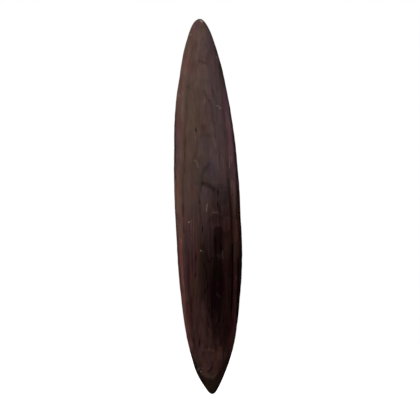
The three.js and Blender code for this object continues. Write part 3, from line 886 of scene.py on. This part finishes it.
class Nodes:
    """Shorthand for building the nodes of one material or world."""

    def __init__(self, owner):
        owner.use_nodes = True
        self.owner = owner
        self.tree = owner.node_tree

    def feed(self, node, inputs):
        """Links or sets inputs of a node, given by name or by number."""
        for key, value in inputs.items():
            if isinstance(value, bpy.types.NodeSocket):
                self.tree.links.new(value, node.inputs[key])
            else:
                node.inputs[key].default_value = value

    def add(self, kind, inputs=None, **settings):
        """The outputs of a new node with these inputs and settings."""
        node = self.tree.nodes.new(kind)
        for name, value in settings.items():
            setattr(node, name, value)
        self.feed(node, inputs or {})
        return node.outputs

    def math(self, operation, *values, clamp=False):
        numbered = dict(enumerate(values))
        return self.add("ShaderNodeMath", numbered, operation=operation, use_clamp=clamp)[0]

    def total(self, first, *others):
        for other in others:
            first = self.math("ADD", first, other)
        return first

    def product(self, first, *others):
        for other in others:
            first = self.math("MULTIPLY", first, other)
        return first

    def less(self, first, second):
        return self.math("SUBTRACT", first, second)

    def sway(self, noise, amount):
        """Noise from 0 to 1 as a swing of the amount in all, half of it to each side."""
        return self.product(self.less(noise, 0.5), amount)

    def vector(self, operation, *values):
        return self.add("ShaderNodeVectorMath", dict(enumerate(values)), operation=operation)[0]

    def split(self, vector):
        return self.add("ShaderNodeSeparateXYZ", {0: vector})

    def noise(self, place, scales, detail=2, roughness=0.5):
        """Noise from 0 to 1 with a scale of its own along each axis."""
        inputs = {"Vector": self.vector("MULTIPLY", place, scales), "Scale": 1}
        return self.add("ShaderNodeTexNoise", {**inputs, "Detail": detail, "Roughness": roughness})["Fac"]

    def noise_line(self, value, detail=2, roughness=0.5):
        inputs = {"W": value, "Scale": 1, "Detail": detail, "Roughness": roughness}
        return self.add("ShaderNodeTexNoise", inputs, noise_dimensions="1D")["Fac"]

    def span(self, value, low, high, to_low=0, to_high=1):
        """A smooth change from one number to another as the value goes from low to high."""
        numbered = dict(enumerate((value, low, high, to_low, to_high)))
        return self.add("ShaderNodeMapRange", numbered, interpolation_type="SMOOTHSTEP")[0]

    def between(self, share, first, second):
        """The first number where the share is 0, the second where it is 1, and a smooth change between."""
        return self.span(share, 0, 1, first, second)

    def drying_checks(self, across, along, cell_width, cell_length, half_width, share):
        """1 in long thin gaps along the fibres that taper at both ends, in a share of the cells, else 0."""
        wander = self.noise_line(self.product(along, 4 / cell_length))
        across = self.total(across, self.product(wander, 0.3 * cell_width))
        scaled = {0: self.math("DIVIDE", across, cell_width), 1: self.math("DIVIDE", along, cell_length)}
        cells = self.add("ShaderNodeCombineXYZ", scaled)[0]
        nearest = self.add("ShaderNodeTexVoronoi", {"Vector": cells, "Scale": 1}, voronoi_dimensions="2D")
        off = self.split(self.vector("SUBTRACT", cells, nearest["Position"]))
        taper = self.less(1, self.math("POWER", self.math("DIVIDE", off[1], 0.42), 2))
        beside = self.product(self.math("ABSOLUTE", off[0]), cell_width / half_width)
        gap = self.math("MULTIPLY", self.less(taper, beside), 3, clamp=True)
        chosen = self.math("LESS_THAN", self.split(nearest["Color"])[0], share)
        return self.product(gap, chosen)

    def ramp(self, value, stops):
        output = self.add("ShaderNodeValToRGB", {0: value})[0]
        elements = output.node.color_ramp.elements
        while len(elements) < len(stops):
            elements.new(1)
        for element, (position, colour) in zip(elements, stops):
            element.position = position
            element.color = colour
        return output

    def mix(self, factor, first, second):
        """The first colour where the factor is 0, the second where it is 1. Sockets 6 and 7 take colours."""
        return self.add("ShaderNodeMix", {0: factor, 6: first, 7: second}, data_type="RGBA")[2]

    def shade(self, colour, tone):
        return self.add("ShaderNodeVectorMath", {0: colour, "Scale": tone}, operation="SCALE")[0]

    def attribute(self, name, output="Fac"):
        return self.add("ShaderNodeAttribute", attribute_name=name)[output]

    def bump(self, height, distance, strength, **below):
        """A normal bent by the height, over another normal where one is given as Normal."""
        inputs = {"Height": height, "Distance": distance, "Strength": strength, **below}
        return self.add("ShaderNodeBump", inputs)[0]

    def finish(self, colour, roughness, normal, specular):
        """The material, with its shader fed."""
        inputs = {"Base Color": colour, "Roughness": roughness, "Normal": normal,
                  "Specular IOR Level": specular}
        self.feed(self.tree.nodes["Principled BSDF"], inputs)
        return self.owner


# Depths into the ring layers, in millimetres, with how much of the wood's lightness is left there
RING_TONES = (
    (0, 0.9), (2, 1), (2.6, 0.75), (4, 1.02), (5, 0.8), (7, 1.02), (8, 0.85), (10, 1.04), (12.4, 1.02),
    (13.4, 0.85), (15, 1.04), (17, 0.9), (19, 1.05), (21, 1.03), (22.2, 0.82), (24, 1.04), (27, 0.92),
    (29, 1.04), (32, 1.02), (33, 0.86), (36, 1.04),
)
DEEPEST_RING = RING_TONES[-1][0]

# The pixel over the middle of the tree
CORE_PIXEL = (214, 288)

# How the rings lie: the bow's reach in metres, the tilt in millimetres per metre, and waves in millimetres
RING_BOW_REACH = 0.015
RING_TILT = 26
SLOW_RING_WAVES = 8
QUICK_RING_WAVES = 3.5


def board_wood():
    """Dark figured hardwood with ring layers, streaks along the fibres, and reddish margins; a painted sheen
    lightens the front's upper half.
    """
    n = Nodes(bpy.data.materials.new("dark_hardwood_old"))
    coordinates = n.add("ShaderNodeTexCoord")
    place = coordinates["Object"]
    x, y, z = n.split(place)
    core_x, core_z = from_photo(*CORE_PIXEL)
    on_back = n.span(n.split(coordinates["Normal"])[1], -0.2, 0.5)

    # Depth into the ring layers, in millimetres
    off_core = n.math("DIVIDE", n.less(x, core_x), RING_BOW_REACH)
    bow = n.product(off_core, off_core)
    tilt = n.product(n.less(z, core_z), RING_TILT)
    into_board = n.product(n.less(y, FRONT_Y), 1000)
    slow_waves = n.sway(n.noise(place, (24, 24, 9), detail=1), SLOW_RING_WAVES)
    quick_waves = n.sway(n.noise(place, (85, 85, 26)), QUICK_RING_WAVES)
    depth = n.total(into_board, bow, tilt, slow_waves, quick_waves)
    ring_share = n.math("PINGPONG", n.math("DIVIDE", depth, DEEPEST_RING), 1)
    ring_tone = n.ramp(ring_share, [(mm / DEEPEST_RING, (tone, tone, tone, 1)) for mm, tone in RING_TONES])
    fine_rings = n.noise_line(n.product(depth, 0.9), detail=3, roughness=0.7)

    # Streaks along the fibres, and blotches
    wide_streak = n.noise(place, (110, 110, 4), detail=3, roughness=0.6)
    streak = n.noise(place, (330, 330, 14))
    fine_streak = n.noise(place, (1000, 1000, 30))
    blotch = n.noise(place, (75, 75, 26), detail=3, roughness=0.6)
    hue = n.noise(n.vector("ADD", place, (3.1, 0, 0)), (60, 60, 12))

    # Zones of colour on the front: brown in the upper half with a painted sheen that makes it lighter and
    # greyer, greyer at its right, and darker and redder below
    upper = n.span(n.total(n.less(z, x), n.sway(blotch, 0.05)), -0.12, 0.09)
    # Towards the right the lower body and margins darken: partly the wood's own colour, partly painted shade
    # on the side turned from the light
    on_right = n.span(x, -0.030, 0.045)
    lowest = n.span(z, -0.40, -0.29, 1, 0)
    lower_body = n.mix(on_right, srgb(46, 29, 26), srgb(32, 16, 14))
    lower_body = n.mix(lowest, lower_body, n.mix(on_right, srgb(52, 35, 31), srgb(45, 27, 22)))
    # The upper colours are lighter and greyer than the wood: a painted sheen of the light from above
    body = n.mix(upper, lower_body, n.mix(on_right, srgb(69, 53, 46), srgb(67, 53, 52)))
    ragged_distance = n.total(n.attribute("rim_distance"), n.sway(wide_streak, 0.016))
    margin_width = n.between(upper, 0.010, 0.021)
    margin = n.span(n.math("DIVIDE", ragged_distance, margin_width), 0.6, 1.3, 0.8, 0)
    margin = n.product(margin, n.span(lowest, 0.1, 0.7, 1, 0.2))
    # The lighter left margin is partly the wood's reddish edge, partly a painted highlight where the light
    # grazes the left rim
    lower_margin = n.mix(on_right, srgb(77, 48, 43), srgb(40, 20, 18))
    # The upper margin colours hold the same painted sheen
    upper_margin = n.mix(on_right, srgb(77, 57, 51), srgb(67, 49, 51))
    front = n.mix(margin, body, n.mix(upper, lower_margin, upper_margin))
    back = n.mix(n.span(blotch, 0.3, 0.7), srgb(70, 47, 37), srgb(88, 63, 49))
    colour = n.mix(on_back, front, back)
    redder = n.vector("MULTIPLY", colour, (1.08, 0.96, 0.98))
    greyer = n.vector("MULTIPLY", colour, (0.95, 1.01, 1.04))
    redness_limits = (n.between(on_back, 0.22, 0), n.between(on_back, 0.78, 1))
    colour = n.mix(n.span(hue, 0.35, 0.65, *redness_limits), greyer, redder)

    # How light the streaks and rings leave the wood, more evenly in the upper half, where the painted sheen
    # veils them, and at the lower tip
    wide_tone = n.span(wide_streak, 0.38, 0.62, 1.20, 0.75)
    streak_tone = n.span(streak, 0.40, 0.60, 1.16, 0.80)
    streaks = n.product(wide_tone, streak_tone, n.span(fine_streak, 0.3, 0.7, 1.10, 0.88))
    rings = n.product(ring_tone, n.span(fine_rings, 0.45, 0.75, 1.04, 0.88))
    power = n.product(n.between(upper, 0.90, 0.25), n.between(lowest, 1, 0.50))
    streaks = n.math("POWER", streaks, n.between(on_back, power, 0.75))
    rings = n.math("POWER", rings, n.between(on_back, power, 1.5))
    # back_tone holds the back's own tone with its painted shade and highlights
    drawn_tone = n.product(n.attribute("figure_tone"), n.attribute("back_tone"))
    tone = n.product(streaks, rings, n.span(blotch, 0.3, 0.7, 1.10, 0.88), drawn_tone)

    # The figure's hues and the marks
    for name, tint, _ in HUES:
        colour = n.mix(n.attribute(name), colour, n.vector("MULTIPLY", colour, tint))
    colour = n.shade(colour, tone)
    checks = n.product(n.drying_checks(x, z, 0.024, 0.15, 0.0007, 0.4), on_back)
    colour = n.mix(checks, colour, srgb(10, 5, 4))
    colour = n.mix(n.attribute("cracks"), colour, srgb(6, 1, 1))
    colour = n.mix(n.attribute("scratches"), colour, srgb(172, 156, 146))

    roughness = n.span(wide_streak, 0.3, 0.7, 0.40, 0.54)
    fine_relief = n.bump(n.less(fine_streak, checks), 0.0005, 0.3)
    return n.finish(colour, roughness, n.bump(streak, 0.0004, 0.3, Normal=fine_relief), specular=0.01)


def sapling_wood():
    """Whittled, hand-polished sapling: fibres along the bend, dark knots, and bark inside the bends."""
    n = Nodes(bpy.data.materials.new("sapling_polished"))
    straight = n.attribute("straightened", "Vector")
    across, _, along = n.split(straight)
    fibre = n.noise(straight, (420, 420, 16), detail=3, roughness=0.6)
    fine = n.noise(straight, (1700, 1700, 50))
    blotch = n.noise(straight, (60, 60, 25), detail=3)
    middle = handle_line(2)[-1] / 2
    off_middle = n.math("ABSOLUTE", n.less(along, middle))
    grip = n.less(1, n.span(off_middle, 0.02, 0.060))
    colour = n.mix(n.span(blotch, 0.35, 0.65), srgb(132, 95, 63), srgb(92, 62, 41))
    colour = n.mix(n.span(fibre, 0.42, 0.66, 0, 0.75), colour, srgb(54, 35, 25))
    colour = n.mix(n.product(grip, 0.6), colour, srgb(62, 38, 27))
    # Lighter ridges between the whittled faces: partly polish wear, partly a painted highlight on the edges
    ridge_tone = n.between(n.attribute("ridges"), 0.86, 1.20)
    colour = n.shade(colour, n.product(n.span(fine, 0.35, 0.65, 1.14, 0.82), ridge_tone))

    knots = n.total(n.attribute("knots"), n.sway(fibre, 0.5))
    colour = n.mix(n.span(knots, 0.2, 0.6, 0, 0.6), colour, srgb(50, 31, 22))
    colour = n.mix(n.span(knots, 0.62, 0.95, 0, 0.85), colour, srgb(28, 17, 12))
    bark_colour = n.mix(n.span(fine, 0.4, 0.6), srgb(74, 62, 52), srgb(36, 27, 22))
    bark = n.attribute("bark")
    colour = n.mix(bark, colour, bark_colour)
    clean = n.total(n.attribute("past_gum"), n.less(blotch, 0.5))
    colour = n.mix(n.math("SUBTRACT", 1, clean, clamp=True), colour, srgb(34, 20, 12))
    checks = n.drying_checks(across, along, 0.009, 0.06, 0.0003, 0.35)
    colour = n.mix(checks, colour, srgb(18, 10, 7))

    roughness = n.math("MAXIMUM", n.between(grip, 0.60, 0.42), n.product(bark, 0.85))
    relief = n.bump(n.less(fibre, checks), 0.0005, 0.5)
    return n.finish(colour, roughness, n.bump(fine, 0.0002, 0.4, Normal=relief), specular=0.17)


def peg_wood():
    """Dry whittled peg wood with fibres along X and paler cut ends."""
    n = Nodes(bpy.data.materials.new("peg_dry"))
    place = n.add("ShaderNodeTexCoord")["Object"]
    fibre = n.noise(place, (30, 900, 900), detail=3)
    off_middle = n.math("ABSOLUTE", n.split(place)[0])
    ends = n.span(off_middle, PEG_HALF_LENGTH * PEG_TAPER_START, PEG_HALF_LENGTH)
    colour = n.mix(n.span(fibre, 0.35, 0.7), srgb(128, 96, 68), srgb(88, 62, 44))
    colour = n.mix(n.product(ends, 0.5), colour, srgb(150, 118, 86))
    return n.finish(colour, n.span(fibre, 0.3, 0.7, 0.6, 0.75), n.bump(fibre, 0.0003, 0.5), specular=0.15)


def gum():
    """Old plant gum: black-brown, duller where its lumps are lighter, with paler grit."""
    n = Nodes(bpy.data.materials.new("gum_hardened"))
    place = n.add("ShaderNodeTexCoord")["Object"]
    lumps = n.noise(place, (260, 260, 260), detail=4, roughness=0.6)
    grit = n.noise(place, (1500, 1500, 1500))
    colour = n.mix(n.span(lumps, 0.35, 0.65), srgb(24, 12, 6), srgb(46, 25, 13))
    colour = n.mix(n.span(grit, 0.55, 0.75, 0, 0.3), colour, srgb(78, 56, 40))
    roughness = n.span(lumps, 0.3, 0.7, 0.35, 0.65)
    return n.finish(colour, roughness, n.bump(lumps, 0.0012, 0.6), specular=0.06)


# Stage

def add_floor():
    """A white floor just under the lower tip. It shows as white and still takes the shield's shadow."""
    half = FLOOR_HALF_WIDTH
    z = -HALF_LENGTH - FIT_GAP
    mesh = bpy.data.meshes.new("floor")
    corners = [(-half, -half, z), (half, -half, z), (half, half, z), (-half, half, z)]
    mesh.from_pydata(corners, [], [(0, 1, 2, 3)])
    material = bpy.data.materials.new("floor_white")
    n = Nodes(material)
    glow = n.product(seen_rays(n), FLOOR_GLOW)
    inputs = {"Base Color": FLOOR_COLOUR, "Roughness": 1, "Specular IOR Level": 0,
              "Emission Color": WHITE, "Emission Strength": glow}
    n.feed(n.tree.nodes["Principled BSDF"], inputs)
    mesh.materials.append(material)
    floor = add_object("floor", mesh)


def seen_rays(n):
    """1 for rays that see the background straight, in a reflection or through glass."""
    path = n.add("ShaderNodeLightPath")
    seen = path["Is Camera Ray"]
    for name in ("Is Glossy Ray", "Is Transmission Ray"):
        seen = n.math("ADD", seen, path[name], clamp=True)
    return seen


def add_world():
    """A dim grey room for the light, and white wherever the background is seen."""
    world = bpy.data.worlds.new("studio")
    bpy.context.scene.world = world
    n = Nodes(world)
    n.feed(n.tree.nodes["Background"], {"Color": n.mix(seen_rays(n), ROOM_COLOUR, WHITE)})


def add_softbox(name, place, aim, width, height, power):
    light = bpy.data.lights.new(name, "AREA")
    light.shape = "RECTANGLE"
    light.size = width
    light.size_y = height
    light.energy = power
    lamp = add_object(name, light)
    lamp.location = place
    lamp.rotation_mode = "QUATERNION"
    lamp.rotation_quaternion = (Vector(aim) - Vector(place)).to_track_quat("-Z", "Y")


def add_camera():
    """A long lens straight at the front, turned and moved so that both tips fall on their pixels."""
    data = bpy.data.cameras.new("camera")
    data.lens = LENS
    data.sensor_width = SENSOR_WIDTH
    down = BOTTOM_TIP_PIXEL - TOP_TIP_PIXEL
    lean = math.atan2(down.x, down.y)
    right = Vector((math.cos(lean), 0, -math.sin(lean)))
    up = Vector((math.sin(lean), 0, math.cos(lean)))
    image_middle = Vector((IMAGE_SIZE / 2, IMAGE_SIZE / 2))
    offset = (image_middle - (TOP_TIP_PIXEL + BOTTOM_TIP_PIXEL) / 2) * METRES_PER_PIXEL
    camera = add_object("camera", data)
    camera.location = Vector((0, TIP_Y - CAMERA_DISTANCE, 0)) + right * offset.x - up * offset.y
    camera.rotation_mode = "QUATERNION"
    camera.rotation_quaternion = Matrix((right, up, Vector((0, -1, 0)))).transposed().to_quaternion()
    bpy.context.scene.camera = camera


add_camera()
add_floor()
add_world()
for name, softbox in SOFTBOXES.items():
    add_softbox(name, *softbox)
bpy.context.scene.view_settings.view_transform = "Standard"

add_piece("shield_board_carved", board_mesh(), board_wood(), "dark_hardwood", "shield_board")
add_piece("handle_whittled", handle_mesh(), sapling_wood(), "sapling_wood", "handle")
dry_wood, old_gum = peg_wood(), gum()
for seed, side in enumerate(LEG_PLACES, start=31):
    add_piece(f"{side}_peg_whittled", peg_mesh(side, seed), dry_wood, "peg_wood", f"{side}_peg")
    add_piece(f"{side}_gum_pressed", collar_mesh(side, seed), old_gum, "gum", f"{side}_gum_collar")
